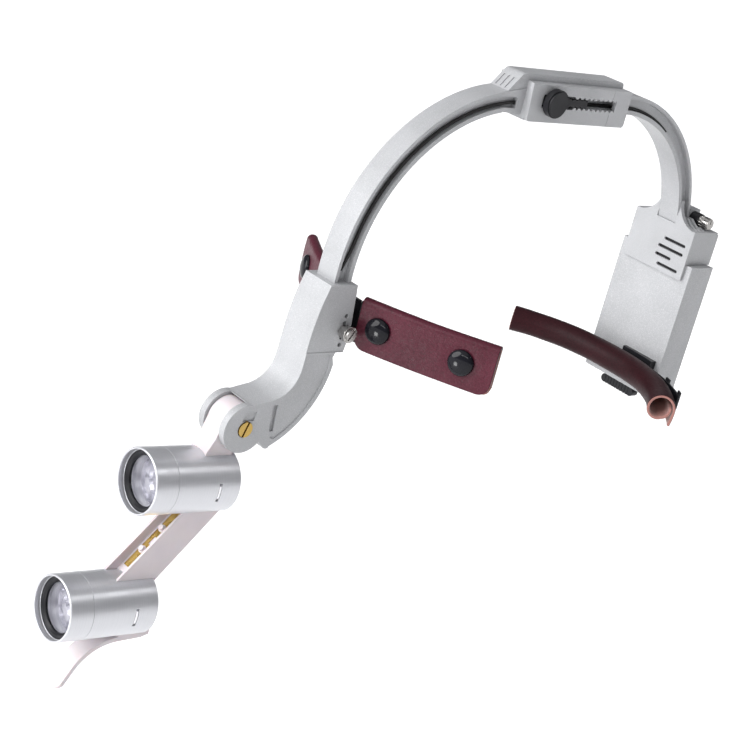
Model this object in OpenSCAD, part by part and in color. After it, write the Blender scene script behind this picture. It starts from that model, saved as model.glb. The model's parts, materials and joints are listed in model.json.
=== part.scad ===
// Head-worn magnifier: one band over the head, a forehead pad, a rear pad with
// its battery box, and two lit lens barrels on an arm that tilts in a clevis.
// +Z is up, -Y is forward, +X is the wearer's left. The origin is the centre of
// the wearer's head, at the height of the middle of the forehead pad.

/* [Head band] */
// Outer radius of the front arc
front_r = 86; // [84:0.5:88]
// Outer radius of the rear arc
rear_r = 74; // [73:0.5:75]
// Radial depth of both arcs
band_depth = 9.2; // [8.5:0.1:9.4]
// Width of the band across the head
band_w = 12; // [11:0.5:12.5]
// Thickness of the band's flanges
flange = 1.6; // [1.2:0.1:2]
// Thickness of the web between the flanges
web = 6.6; // [6:0.2:7]

/* [Size adjuster] */
// Distance between two teeth of the slot
tooth_pitch = 3.2; // [2.8:0.1:3.4]
// Depth of a tooth
tooth_depth = 1; // [0.6:0.1:1.2]
// Radius of the latch's round thumb pad
thumb_r = 6.4; // [5.5:0.1:6.8]

/* [Barrels] */
// Outer radius of a barrel
barrel_r = 14.3; // [13.8:0.1:14.4]
// Length of a barrel
barrel_l = 43.4; // [42:0.2:44]
// Share of the length that is the front ring
ring_share = 0.26; // [0.22:0.01:0.3]
// Number of ribs inside a barrel
rib_count = 7; // [5:1:9]
// Upward slant of the barrels toward the front, in degrees
barrel_slant = 3.4; // [3:0.1:4]

/* [Rear box] */
// Width of the battery box
box_w = 46.4; // [45:0.2:48]
// Depth of the battery box
box_d = 16.9; // [16:0.1:17.2]
// Width of the case above it
case_w = 39; // [37:0.5:40]
// Wall thickness of the rear shells
wall = 1.6; // [1.4:0.1:1.8]

/* [Pads] */
// Height of a forehead sleeve
sleeve_h = 23.6; // [22:0.2:25]
// Length of a forehead sleeve
sleeve_l = 64; // [60:0.5:65]
// Thickness of a forehead sleeve
sleeve_t = 5; // [4.5:0.1:5.5]
// Outer radius of the rolled rear pad
roll_r = 7; // [6.6:0.1:7]
// Radius of a snap's dome
snap_r = 5.8; // [5:0.1:6]

/* [Hidden] */
$fn = 96;
eps = 0.01;

// Arc centres, as [y, z]
front_c = [-24, 20];
rear_c = [42, 34];
half_w = band_w / 2;
// The front arc ends where the housing begins
front_end = 101;
rear_end = 2;
inner_flange = flange + 0.4;
// Inner edge of the front band's foot, and the hole for the wire in it
front_foot_y = front_c[0] - front_r + band_depth;
foot_low = 17;
wire_hole = [-106.6, 22.6];
// Front end and underside of the rear band's tongue
tongue_y = -22;
tongue_z = rear_c[1] + rear_r - band_depth;

// Housing: floor, roof and ends
house_z0 = 93.5;
house_z1 = 110.5;
house_y0 = -27;
house_y1 = 37;
house_x = 8.5;
plate_x = 10.5;
ridge_x = 5.6;
cavity_x = half_w + 0.3;
cavity_y = -24;
screw_y = [-20, 30];
cavity_z = [tongue_z - 0.3, tongue_z + band_depth + 0.3];

// Slot in the toothed plate, and the latch in it
slot_z = 103;
slot_half = 3;
slot_y = [-20, 28.8];
seam_y = 25.8;
latch_y = -14.5;
tail_end = 9.4;
tail_half = 1.8;

// Clevis
pivot = [-142.2, -47.3];
ear_r = 11;
ear_x = 9.25;
ear_gap = 5.7;
knuckle_r = 9.5;
knuckle_x = 5.4;
screw_r = 1.95;

// Forehead pad
pad_axis = [-101.3, -3.7];
hole_pitch = 3.3;
pad_hole_r = 1;
wing_start = [10, -95.2];
wing_r = 400;
wing_a0 = 22.6;
sleeve_start = 0.2;
leaf = 1.5;
// Lengths along a wing where its snaps sit
snap_at = [10.2, 49.2];

// Rear assembly
case_y = [105, 124.7];
case_z = [28.4, 44.3];
foot_z = 45.5;
skirt_z = 20;
skirt_t = 1.4;
box_y0 = 106.8;
box_z = [-43.6, 28.2];
box_x = box_w / 2;
case_x = case_w / 2;
dimmer_c = [118, 49];
dimmer_r = 3;
cart_gap = 0.3;
cart_top = 20;
// Size of the cartridge that slides up into the box
cart_x = box_x - wall - cart_gap;
cart_y = [box_y0 + wall + cart_gap, box_y0 + box_d - wall - cart_gap];

// Rolled rear pad: straight middle, then one arc each side
roll_c = [97, -30.8];
roll_bend = 72;
roll_half = 4;
roll_turn = 44.5;
spine_t = 0.9;

// Barrels: centre of the rear end, as [y, z]
upper_c = [-141.6, -74.5];
lower_c = [-170.4, -130.3];
ring_l = barrel_l * ring_share;
bore_r = barrel_r - 1.4;
sleeve_r = bore_r - 0.05;
tab_z = 10.4;
// Where the front ring widens to take a filter
filter_z = 8.6;
// Seat of the retaining ring, which holds the lens
seat_z = 6.4;

// Posts on the bar's strip, and the finger lever's bend, as [y, z]
post_at = [10.5, 22.5];
// Top of the web's front face, and its slant down from level
bar_face = [-158.4, -89.5];
bar_angle = 132.3;
lever_c = [-180.6, -169.1];
lever_r = 24.5;
lever_t = 2.2;
lever_top = -143;
lever_end = lever_c + lever_r * [cos(150), sin(150)];
lever_tip = 11 * [cos(240), sin(240)];

silver = [0.8, 0.8, 0.82];
steel = [0.72, 0.73, 0.75];
white = [0.93, 0.9, 0.92];
black = [0.08, 0.08, 0.09];
brass = [0.75, 0.6, 0.25];
maroon = [0.35, 0.1, 0.14];

// Points of an arc, from angle a0 to a1
function arc(c, r, a0, a1, n = 12) =
    [for (i = [0:n]) let (a = a0 + (a1 - a0) * i / n) [c[0] + r * cos(a), c[1] + r * sin(a)]];

// Draws a shape given in [y, z] and extrudes it from x0 to x1
module side(x0, x1) {
    translate([x0, 0, 0]) rotate([90, 0, 90]) linear_extrude(x1 - x0) children();
}

// A cylinder along X from x0 to x1, with its axis through c = [y, z]
module rod(c, r, x0, x1, fn = 64) {
    translate([x0, c[0], c[1]]) rotate([90, 0, 90]) cylinder(h = x1 - x0, r = r, $fn = fn);
}

// Sweeps a section given in [radius, x] round c, in the plane of Y and Z
module bend(c, a0, a1) {
    translate([0, c[0], c[1]]) rotate([90, 0, 90]) rotate([0, 0, a0])
        rotate_extrude(angle = a1 - a0, $fn = 128) children();
}

// Part of a ring, from angle a0 to a1
module ring(c, r_in, r_out, a0, a1) translate(c) intersection() {
    difference() {
        circle(r_out, $fn = 128);
        circle(r_in, $fn = 128);
    }
    polygon(concat([[0, 0]], arc([0, 0], 2 * r_out, a0, a1, 3)));
}

// The two flanges of a curved band, as [y, z]
module flanges(c, r_out, a0, a1) {
    ring(c, r_out - flange, r_out, a0, a1);
    ring(c, r_out - band_depth, r_out - band_depth + inner_flange, a0, a1);
}

// The web between them, sunk half way into each flange
module web_arc(c, r_out, a0, a1) {
    ring(c, r_out - band_depth + inner_flange / 2, r_out - flange / 2, a0, a1);
}

/* ---------- front frame ---------- */

module front_band() color(silver) difference() {
    union() {
        side(-half_w, half_w) union() {
            flanges(front_c, front_r, front_end, 180);
            // Straight ends of the flanges, which stand on the bracket
            translate([front_foot_y - inner_flange, foot_low])
                square([inner_flange, front_c[1] - foot_low]);
            translate([front_c[0] - front_r, foot_low]) square([flange, front_c[1] - foot_low]);
        }
        side(-web / 2, web / 2) union() {
            web_arc(front_c, front_r, front_end, 180);
            translate([front_c[0] - front_r + flange / 2, foot_low])
                square([band_depth - (inner_flange + flange) / 2, front_c[1] - foot_low]);
        }
    }
    // Hole where the wire goes into the web
    rod(wire_hole, 1, 0.6, half_w, 32);
}

module housing_outline() {
    polygon(concat(
        [[-38.7, 95.7], [-40.4, 104.4], [-38, 105.1], [-32.4, 111.6]],
        arc([-29, 109.6], 3.8, 130, 90, 5),
        arc([34, 111.4], 2, 90, 0, 5),
        [[36, cavity_z[0] - 2.4], [-25, cavity_z[0] - 2.4]]));
}

module adjuster_housing() color(silver) difference() {
    union() {
        side(-ridge_x, ridge_x) housing_outline();
        translate([-house_x, house_y0, house_z0])
            cube([2 * house_x, house_y1 - house_y0, house_z1 - house_z0]);
        // Shoulders that widen from the arc to the box
        for (s = [-1, 1]) side(s > 0 ? ridge_x - eps : -half_w, s > 0 ? half_w : -ridge_x + eps)
            polygon([[-38.7, 95.7], [-40.4, 104.4], [-27, 107], [-26, 95.2]]);
    }
    // Space that the rear band slides in
    translate([-cavity_x, cavity_y, cavity_z[0]])
        cube([2 * cavity_x, house_y1 - cavity_y + 1, cavity_z[1] - cavity_z[0]]);
    // Window behind the toothed slot
    translate([cavity_x - 1, slot_y[0] - 1, slot_z - 4.2])
        cube([house_x, slot_y[1] - slot_y[0] + 4, 8.4]);
    // Side channels carried on from the arc, with the wire's hole on one side
    for (s = [-1, 1]) translate([s > 0 ? web / 2 : -half_w - 1, -42, 97.6])
        cube([half_w + 1 - web / 2, 11, 5]);
    rod_y([web / 2 + 0.9, 99.9], 1.1, -32, -23);
    for (y = screw_y) {
        rod_z([0, y], 1.05, house_z0 - 1, house_z0 + 3.1);
        rod_z([0, y], 2.05, house_z0 - 1, house_z0 + 0.25);
    }
    // Three lightening slots down the front slope
    for (x = [-3, 0, 3]) translate([x - 0.7, -37.2, 105.4]) rotate([49, 0, 0])
        cube([1.4, 6.4, 2.6]);
}

// A cylinder along Y from y0 to y1, with its axis through c = [x, z]
module rod_y(c, r, y0, y1, fn = 32) {
    translate([c[0], y1, c[1]]) rotate([90, 0, 0]) cylinder(h = y1 - y0, r = r, $fn = fn);
}

// Outline of the toothed slot, as [y, z]
module slot_shape() {
    teeth = floor((slot_y[1] - 1) / tooth_pitch);
    difference() {
        translate([slot_y[0], slot_z - slot_half])
            square([slot_y[1] - slot_y[0], 2 * slot_half]);
        for (i = [0:teeth], s = [-1, 1])
            translate([slot_y[1] - 1.4 - i * tooth_pitch, slot_z + s * slot_half])
                polygon([[-1.5, s * 0.1], [1.5, s * 0.1], [0.4, -s * tooth_depth],
                    [-0.4, -s * tooth_depth]]);
    }
}

module plate_outline() {
    polygon([[house_y0 + 1, house_z0], [house_y0, house_z0 + 1], [house_y0 - 1.4, house_z1],
        [house_y1, house_z1], [house_y1 + 1, house_z1 - 1], [house_y1 + 1, house_z0 + 1],
        [house_y1, house_z0]]);
}

module toothed_plate() color(silver) side(house_x, plate_x) difference() {
    plate_outline();
    slot_shape();
    translate([seam_y - 0.1, house_z0 - 1]) square([20, 30]);
}

module slot_end_cap() color(silver) side(house_x, plate_x) difference() {
    plate_outline();
    slot_shape();
    translate([house_y0 - 3, house_z0 - 1]) square([seam_y + 0.1 - house_y0 + 3, 30]);
}

module left_cover_plate() color(silver) difference() {
    side(-plate_x, -house_x) plate_outline();
    translate([-plate_x - 1, house_y0 + 4, house_z0 + 4]) cube([1.6, 56, 9]);
}

module bracket_outline() {
    polygon(concat(
        [[-99.2, 17], [-113.8, 17]],
        arc([-4, -16], 114.8, 167, 181, 8),
        arc([-134, -20.2], 15, -8, -84, 10),
        arc(pivot, ear_r, 78, 323, 36),
        arc([-128.6, -54.6], 2.9, 210, 290, 6),
        arc([-148, -15.5], 46, -63, -5, 16),
        [[-103.4, -16.2], [-102.6, -13.8], [-98.2, -13.8], [-96.8, -6]]));
}

module lower_bracket() color(silver) difference() {
    union() {
        side(-ear_x, ear_x) intersection() {
            bracket_outline();
            translate([-160, -60]) square([70, 46.4]);
        }
        // The upper block is a little narrower than the clevis
        side(-9, 9) intersection() {
            bracket_outline();
            translate([-160, -13.7]) square([70, 31]);
        }
    }
    // Clevis gap, round the knuckle
    rod(pivot, knuckle_r + 1.2, -ear_gap, ear_gap, 96);
    translate([-ear_gap, -154, -60]) cube([2 * ear_gap, 19.6, 12]);
    translate([-ear_gap, -156, -52]) cube([2 * ear_gap, 14, 18]);
    // Pivot bore, and seats for the screw's head and the nut
    rod(pivot, screw_r + 0.05, -12, 12);
    rod(pivot, 3.75, ear_x - 1.2, 12);
    rod(pivot, 3.75, -12, -ear_x + 1.6);
    // Slot for the pad's tongue, and the row of holes for its screw
    translate([-3.4, -107, -12.6]) cube([6.8, 20, 26]);
    for (k = [-2:2]) rod([pad_axis[0], pad_axis[1] + k * hole_pitch], pad_hole_r, -12, 12, 32);
    for (s = [-1, 1]) {
        // Recessed side panel inside a raised rim
        side(s > 0 ? ear_x - 0.5 : -ear_x - 1, s > 0 ? ear_x + 1 : -ear_x + 0.5) polygon(concat(
            arc([-148, -15.5], 43.9, -59, -6, 12),
            [[-105.2, -14.8], [-117.9, -14.8], [-118, -20]],
            arc([-134, -20.2], 16.4, -8, -60, 6),
            [[-129.6, -46], [-127.6, -52.6]]));
        // Upright pocket beside the clevis
        side(s > 0 ? ear_x - 1.6 : -ear_x - 1, s > 0 ? ear_x + 1 : -ear_x + 1.6)
            polygon([[-129.8, -37], [-127.2, -37], [-126.4, -49.6], [-128.6, -49.6]]);
        // Small pocket above the screw
        side(s > 0 ? ear_x - 0.8 : -ear_x - 1, s > 0 ? ear_x + 1 : -ear_x + 0.8)
            polygon([[-144.6, -43.6], [-143.4, -39.4], [-137.8, -39.4], [-138.6, -43.6]]);
    }
    // Passage for the wire, from the foot of the band to the clevis
    rod_z([0, -108.5], 1.3, 5, 20);
}

// A cylinder along Z from z0 to z1, with its axis through c = [x, y]
module rod_z(c, r, z0, z1, fn = 32) {
    translate([c[0], c[1], z0]) cylinder(h = z1 - z0, r = r, $fn = fn);
}

module pivot_screw() color(brass) difference() {
    union() {
        rod(pivot, 3.5, ear_x - 1.2, ear_x + 0.5);
        rod(pivot, screw_r, -ear_x + 0.1, ear_x - 1);
    }
    translate([ear_x - 0.2, pivot[0], pivot[1]]) rotate([-18, 0, 0])
        cube([1.6, 0.9, 9], center = true);
}

module pivot_nut() color(brass) difference() {
    rod(pivot, 3.5, -ear_x - 0.5, -ear_x + 1.5, 6);
    rod(pivot, screw_r, -12, 0);
}

module front_wire() color(black) {
    wire_x = web / 2 + 0.85;
    wire_r = 0.7;
    low = front_c + 80.2 * [cos(169.8), sin(169.8)];
    kink = [-104.2, 29];
    bend(front_c, front_end - 6, 169.8) translate([80.2, wire_x]) circle(wire_r, $fn = 24);
    for (p = [[low, kink], [kink, wire_hole]]) {
        d = p[1] - p[0];
        translate([wire_x, p[0][0], p[0][1]]) rotate([atan2(d[1], d[0]) - 90, 0, 0])
            cylinder(h = norm(d), r = wire_r, $fn = 24);
    }
    for (p = [low, kink, wire_hole]) translate([wire_x, p[0], p[1]])
        sphere(wire_r + 0.05, $fn = 24);
    rod(wire_hole, wire_r, 1.2, wire_x, 24);
}

module housing_screws() color(steel) for (y = screw_y) difference() {
    union() {
        rod_z([0, y], 2, house_z0 - 0.6, house_z0 + 0.2);
        rod_z([0, y], 1, house_z0, house_z0 + 3);
    }
    translate([-2.5, y - 0.25, house_z0 - 1]) cube([5, 0.5, 0.7]);
}

/* ---------- forehead pad ---------- */

// Bends a shape along a wing: the shape is drawn as [inward, height]
module wing(side_sign, from_l, to_l) {
    mirror([side_sign > 0 ? 0 : 1, 0, 0])
        translate([wing_start[0] - wing_r * sin(wing_a0), wing_start[1] + wing_r * cos(wing_a0), 0])
            rotate([0, 0, -90 + wing_a0 + from_l / wing_r * 180 / PI])
                rotate_extrude(angle = (to_l - from_l) / wing_r * 180 / PI, $fn = 360) children();
}

// Point on a wing at length l, as [x, y], and the wing's heading there
function wing_a(l) = wing_a0 + l / wing_r * 180 / PI;
function wing_p(l, r = wing_r) = [
    wing_start[0] + wing_r * (sin(wing_a(l)) - sin(wing_a0)) + (r - wing_r) * sin(wing_a(l)),
    wing_start[1] + wing_r * (cos(wing_a0) - cos(wing_a(l))) - (r - wing_r) * cos(wing_a(l))];

module pad_bracket() color(black) difference() {
    union() {
        rod(pad_axis, 4.2, -3, 3);
        side(-3, 3) polygon([[-101, -7.9], [-94, -7.6], [-94, 4], [-101, 0.5]]);
        // Cross piece that the carrier is fixed to
        translate([-7.5, -95, -8.6]) cube([15, 1.8, 18]);
        for (x = [-6.2, 6.2]) translate([x - 1, -95.6, 6]) cube([2, 1, 2.6]);
    }
    rod(pad_axis, pad_hole_r, -6, 6, 32);
}

module pad_screw() color(steel) difference() {
    union() {
        rod(pad_axis, 3.2, 9.2, 12.4, 6);
        rod(pad_axis, 3.7, 12.4, 14.2);
        rod(pad_axis, 2.6, 14.2, 15.1);
        rod(pad_axis, pad_hole_r - 0.05, -10.5, 9.4, 32);
        rod(pad_axis, 2, -10.6, -9.2, 6);
    }
    translate([14.7, pad_axis[0], pad_axis[1]]) rotate([-30, 0, 0])
        cube([1.6, 0.8, 9], center = true);
}

module pad_carrier() color(black) {
    translate([-8.4, -93.2, -8]) cube([16.8, 1.4, 16]);
    for (s = [-1, 1]) wing(s, sleeve_start - 1.4, sleeve_l - 1) carrier_section();
}

module carrier_section() {
    translate([wing_r - leaf - 1.9, -9.5]) square([1.4, 19]);
}

// Sleeve: a leaf folded over the carrier, open below
module sleeve(s) difference() {
    wing(s, sleeve_start, sleeve_l) sleeve_section();
    corner_cut(s, sleeve_start, -1);
    corner_cut(s, sleeve_l, 1);
    // Holes for the snaps' posts, in the outer leaf
    for (l = snap_at) snap_place(s, l) translate([0, 0, -leaf - 0.9])
        cylinder(h = leaf + 2, r = 1.6, $fn = 32);
}

// Section of a sleeve, as [radius, z]: two leaves joined over the top
module sleeve_section() {
    top = sleeve_h / 2;
    room = [wing_r - leaf - 2, wing_r - leaf - 0.4];
    polygon([[wing_r, -top], [wing_r, top - 1], [wing_r - 1, top], [wing_r - sleeve_t + 1, top],
        [wing_r - sleeve_t, top - 1], [wing_r - sleeve_t, -top], [room[0], -top],
        [room[0], 9.6], [room[1], 9.6], [room[1], -top]]);
}

// Rounds a lower corner of a sleeve
module corner_cut(s, l, e) {
    r = 6;
    mirror([s > 0 ? 0 : 1, 0, 0]) translate([wing_p(l)[0], wing_p(l)[1], -sleeve_h / 2])
        rotate([90, 0, wing_a(l)]) difference() {
            translate([e > 0 ? -r : -2, -2, -12]) cube([r + 2, r + 2, 24]);
            translate([-e * (r - 0.15), r - 0.15, -13]) cylinder(h = 26, r = r, $fn = 48);
        }
}

// Puts a shape on a sleeve's outer face at length l, with +Z outward
module snap_place(s, l) {
    mirror([s > 0 ? 0 : 1, 0, 0]) translate([wing_p(l)[0], wing_p(l)[1], 0])
        rotate([90, 0, wing_a(l)]) children();
}

module sleeve_left() color(maroon) sleeve(1);

module sleeve_right() color(maroon) sleeve(-1);

module pad_snaps() color(black) for (s = [-1, 1], l = snap_at) snap_place(s, l) {
    // Dome, post and the cap behind the leather
    intersection() {
        translate([0, 0, -4.6]) sphere(7.6, $fn = 64);
        translate([0, 0, 0.05]) cylinder(h = 4, r = snap_r);
    }
    translate([0, 0, -1.9]) cylinder(h = 2.2, r = 1.5, $fn = 32);
    translate([0, 0, -1.9]) cylinder(h = 0.35, r = 1.55, $fn = 32);
}

/* ---------- rear frame ---------- */

// Outline of the rear band's flanges, as [y, z]
module rear_band_outline() {
    flanges(rear_c, rear_r, rear_end, 90);
    // Straight tongue inside the housing, and its solid end
    translate([tongue_y, tongue_z + band_depth - flange])
        square([rear_c[0] - tongue_y, flange]);
    translate([tongue_y, tongue_z]) square([rear_c[0] - tongue_y, inner_flange]);
    translate([tongue_y, tongue_z]) square([14, band_depth]);
}

module rear_band() color(silver) difference() {
    union() {
        side(-half_w, half_w) rear_band_outline();
        side(-web / 2, web / 2) union() {
            web_arc(rear_c, rear_r, rear_end, 90);
            translate([tongue_y + 6, tongue_z + inner_flange / 2])
                square([rear_c[0] - tongue_y - 6, band_depth - (inner_flange + flange) / 2]);
        }
    }
    // Flat end that stands on the foot's plate
    translate([-10, 90, 20]) cube([20, 40, foot_z - 20]);
    // Bore and spring seat of the latch
    rod([latch_y, slot_z], 2.65, 0.5, 12);
    rod([latch_y, slot_z], 3.7, 2.4, 12);
}

// Flared outline of the foot and its fins, as [x, z]
module foot_outline(h) {
    r = case_x - half_w;
    difference() {
        translate([-case_x, case_z[1]]) square([2 * case_x, h]);
        for (s = [-1, 1]) translate([s * case_x, case_z[1] + 1 + r]) circle(r, $fn = 64);
        for (s = [-1, 1]) translate([s > 0 ? half_w : -case_x - 1, case_z[1] + 1 + r])
            square([case_x - half_w + 1, 20]);
    }
}

module upright(y0, y1) {
    translate([0, y1, 0]) rotate([90, 0, 0]) linear_extrude(y1 - y0) children();
}

module band_foot() color(silver) difference() {
    union() {
        translate([-case_x, case_y[0], case_z[1]])
            cube([2 * case_x, case_y[1] - case_y[0] - 1, foot_z - case_z[1]]);
        upright(case_y[0], case_y[0] + 2.4) foot_outline(13);
        for (y = [110, 113, 116]) upright(y - 0.6, y + 0.6) intersection() {
            foot_outline(13);
            translate([-case_x, case_z[1]]) square([2 * case_x, 5]);
        }
        // Boss that the dimmer is fixed in
        translate([-half_w, 114.9, case_z[1]]) cube([band_w, 7.5, 8.6]);
    }
    // Seat of the band, whose end stands on the plate
    intersection() {
        bend(rear_c, 2, 40) translate([rear_r - band_depth - 4, -half_w - 0.02])
            square([band_depth + 4.02, band_w + 0.04]);
        translate([-10, 90, foot_z]) cube([20, 40, 40]);
    }
    rod(dimmer_c, 1.5, -4, 12, 48);
    // Room for the collar and the knob beside the boss
    rod(dimmer_c, dimmer_r + 0.7, half_w, case_x + 1);
}

module vent(x0, x1, z) {
    for (x = [x0 + 0.8, x1 - 0.8]) rod_y([x, z], 0.8, 104, 106.5);
    translate([x0 + 0.8, 104, z - 0.8]) cube([x1 - x0 - 1.6, 2.5, 1.6]);
}

module upper_case() color(silver) difference() {
    union() {
        // Front face with the skirt that hangs over the battery box
        translate([-case_x, case_y[0], skirt_z])
            cube([2 * case_x, skirt_t, case_z[1] - skirt_z]);
        translate([-case_x, case_y[0], case_z[0]])
            cube([2 * case_x, case_y[1] - case_y[0], case_z[1] - case_z[0]]);
    }
    // Room for the driver board
    translate([-case_x + wall, case_y[0] + skirt_t + 0.4, case_z[0] - 1])
        cube([2 * (case_x - wall), case_y[1] - case_y[0] - skirt_t - 0.4 - wall,
            case_z[1] - case_z[0] - wall + 1]);
    translate([-case_x + wall, case_y[0] + skirt_t, case_z[0] - 1])
        cube([2 * (case_x - wall), 1, case_z[1] - case_z[0] - wall + 1]);
    vent(2.6, 16.5, 36.7);
    vent(0.1, 16.5, 32.2);
    vent(-0.1, 10.1, 27.7);
    vent(2.5, 16.2, 23.2);
}

module case_floor() color(silver) difference() {
    translate([-case_x + wall + 0.05, 107.4, case_z[0] + 0.1])
        cube([2 * (case_x - wall) - 0.1, 15.6, 1.4]);
    for (x = [-8, 8]) rod_z([x, 115.2], 1.5, 20, 35);
}

module driver_board() color([0.1, 0.35, 0.2]) {
    translate([-16, 108.2, 33]) cube([32, 14, 1.4]);
    translate([-10, 110, 34.4]) cube([8, 6, 3]);
    translate([4, 110, 34.4]) cube([5, 8, 5]);
    for (x = [-14, 13]) translate([x, 109.5, 29.9]) cube([1.5, 3, 3.1]);
}

module vent_liner() color(black) translate([-3, case_y[0] + skirt_t, 20.8])
    cube([20.7, 0.35, 17.6]);

module dimmer_collar() color(black) difference() {
    rod(dimmer_c, dimmer_r + 0.3, half_w + 0.05, 11.4);
    rod(dimmer_c, 1.5, half_w - 1, 12, 48);
}

module dimmer_knob() color(steel) difference() {
    union() {
        rod(dimmer_c, dimmer_r, 11.5, 16.8);
        rod(dimmer_c, dimmer_r - 0.4, 16.8, 17.4);
        rod(dimmer_c, 1.45, -2, 11.6, 48);
    }
    for (i = [0:11]) rotate_about(dimmer_c, i * 30)
        translate([11.9, dimmer_c[0] + dimmer_r, dimmer_c[1]]) rotate([90, 0, 90])
            cylinder(h = 4.4, r = 0.3, $fn = 16);
    translate([17, dimmer_c[0] - 0.3, dimmer_c[1]]) cube([1, 0.6, 4]);
}

module rotate_about(c, a) {
    translate([0, c[0], c[1]]) rotate([a, 0, 0]) translate([0, -c[0], -c[1]]) children();
}

module battery_box() color(silver) difference() {
    translate([-box_x, box_y0, box_z[0]]) cube([box_w, box_d, box_z[1] - box_z[0]]);
    translate([-box_x + wall, box_y0 + wall, box_z[0] - 1])
        cube([box_w - 2 * wall, box_d - 2 * wall, box_z[1] - box_z[0] - wall + 1]);
    for (x = [-8, 8]) rod_z([x, 115.2], 1.5, 20, 35);
}

module battery_cartridge() color(black) difference() {
    translate([-cart_x, cart_y[0], box_z[0] + 0.2])
        cube([2 * cart_x, cart_y[1] - cart_y[0], cart_top - box_z[0] - 0.2]);
    translate([-cart_x + 1.2, cart_y[0] + 1, box_z[0] + 3])
        cube([2 * cart_x - 2.4, cart_y[1] - cart_y[0] - 2, cart_top - box_z[0] - 4.2]);
    for (x = [-8, 8]) rod_z([x, 115.2], 2, cart_top - 2, cart_top + 1);
}

module lithium_cell() color([0.25, 0.45, 0.6]) translate([-19.5, cart_y[0] + 1.1, -40])
    cube([39, cart_y[1] - cart_y[0] - 2.2, 56]);

module cartridge_grip() color(black) difference() {
    union() {
        translate([-9, 107.6, -48.4]) cube([18, 4.4, 4.4]);
        for (x = [-9, 9]) rod_y([x, -46.2], 2.2, 107.6, 112);
        translate([-8, 109, -44.5]) cube([16, 3, 1.1]);
    }
    for (x = [-8:2:8]) translate([x - 0.35, 107, -48.8]) cube([0.7, 1, 6]);
}

module battery_contacts() color(brass) for (x = [-8, 8]) {
    rod_z([x, 115.2], 1.45, cart_top + 0.3, 31);
    rod_z([x, 115.2], 2.4, 31, 31.6);
}

// Sweeps a section given as [radius, z] along the rolled pad
module roll_sweep() {
    for (s = [0, 1]) mirror([s, 0, 0])
        translate([roll_half, roll_c[0] - roll_bend, roll_c[1]]) rotate([0, 0, 90 - roll_turn])
            rotate_extrude(angle = roll_turn, $fn = 128) children();
    translate([-roll_half, roll_c[0] - roll_bend, roll_c[1]]) rotate([90, 0, 90])
        linear_extrude(2 * roll_half) children();
}

// Plan of a strip behind the roll, as [x, y], at a distance from it, from angle a0 to a1
module spine_arc(gap, thick, a0, a1) {
    r = roll_bend + roll_r + gap;
    for (s = [0, 1]) mirror([s, 0])
        ring([roll_half, roll_c[0] - roll_bend], r, r + thick, 90 - a1, 90 - a0);
}

// Thin strip that carries the roll, its clips, and the block between it and the box
module rear_pad_spine() color(black) {
    back = roll_c[0] + roll_r + 0.05;
    translate([0, 0, roll_c[1] - 4.2]) linear_extrude(8) union() {
        spine_arc(0.05, spine_t, 0, 38);
        translate([-roll_half, back]) square([2 * roll_half, spine_t]);
    }
    for (a = [24, 36]) translate([0, 0, roll_c[1] - 3.6]) linear_extrude(8.9) intersection() {
        spine_arc(spine_t - 0.4, 1, a - 1.4, a + 1.4);
        square([case_x * 4, box_y0]);
    }
    translate([0, 0, roll_c[1] - 6]) linear_extrude(12.8) difference() {
        translate([-1, roll_c[0]]) square([21, box_y0 - roll_c[0] - 0.05]);
        for (s = [-1, 1]) translate([s * roll_half, roll_c[0] - roll_bend])
            circle(roll_bend + roll_r + 0.4, $fn = 256);
        translate([-roll_half, roll_c[0] - 1]) square([2 * roll_half, roll_r + 1.4]);
    }
}

module rear_pad_roll() color(maroon) roll_sweep() difference() {
    translate([roll_bend, 0]) circle(roll_r, $fn = 64);
    translate([roll_bend, 0]) circle(roll_r - 1.8, $fn = 64);
}

module rear_wire() color(black) {
    wire_x = web / 2 + 0.85;
    path_r = rear_r - band_depth + inner_flange + 0.8;
    rod_y([wire_x, rear_c[1] + path_r], 0.7, 0, rear_c[0], 24);
    translate([wire_x, rear_c[0], rear_c[1] + path_r]) sphere(0.75, $fn = 24);
    bend(rear_c, 58, 90) translate([path_r, wire_x]) circle(0.7, $fn = 24);
}

module size_latch() color(black) {
    pad_x = plate_x + 1.3;
    rod([latch_y, slot_z], thumb_r, pad_x, pad_x + 2.8, 96);
    rod([latch_y, slot_z], thumb_r - 0.8, pad_x + 2.8, pad_x + 3.5, 96);
    rod([latch_y, slot_z], 2.6, 1.9, 8.2);
    rod([latch_y, slot_z], 3.5, 5.9, 6.3);
    // Flat stem and toothed tail in the slot
    side(8.1, pad_x + 0.1) translate([latch_y - 2, slot_z - tail_half])
        square([2 + 4, 2 * tail_half]);
    side(8.1, plate_x - 0.1) difference() {
        translate([latch_y - 2, slot_z - tail_half])
            square([tail_end - latch_y + 2, 2 * tail_half]);
        for (i = [0:4], s = [-1, 1])
            translate([tail_end - 1 - i * tooth_pitch, slot_z + s * tail_half])
                polygon([[-0.8, s * 0.1], [0.8, s * 0.1], [0, -s * 0.6]]);
    }
    // Neck between the pad and the tail
    side(pad_x, pad_x + 1.4) polygon([[latch_y + 4, slot_z - 4], [latch_y + thumb_r + 2.4,
        slot_z - 1.8], [latch_y + thumb_r + 2.4, slot_z + 1.8], [latch_y + 4, slot_z + 4]]);
}

module latch_spring() color(steel) difference() {
    rod([latch_y, slot_z], 3.45, 3.8, 5.85);
    rod([latch_y, slot_z], 2.65, 3, 7);
}

/* ---------- optics ---------- */

// Places a barrel's own frame: +Z runs to the front, the origin is the rear centre
module at_barrel(c) {
    translate([0, c[0], c[1]]) rotate([90 - barrel_slant, 0, 0]) children();
}

module barrel_space(c, r = barrel_r) {
    at_barrel(c) translate([0, 0, -1]) cylinder(h = barrel_l + 2, r = r, $fn = 96);
}

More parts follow.
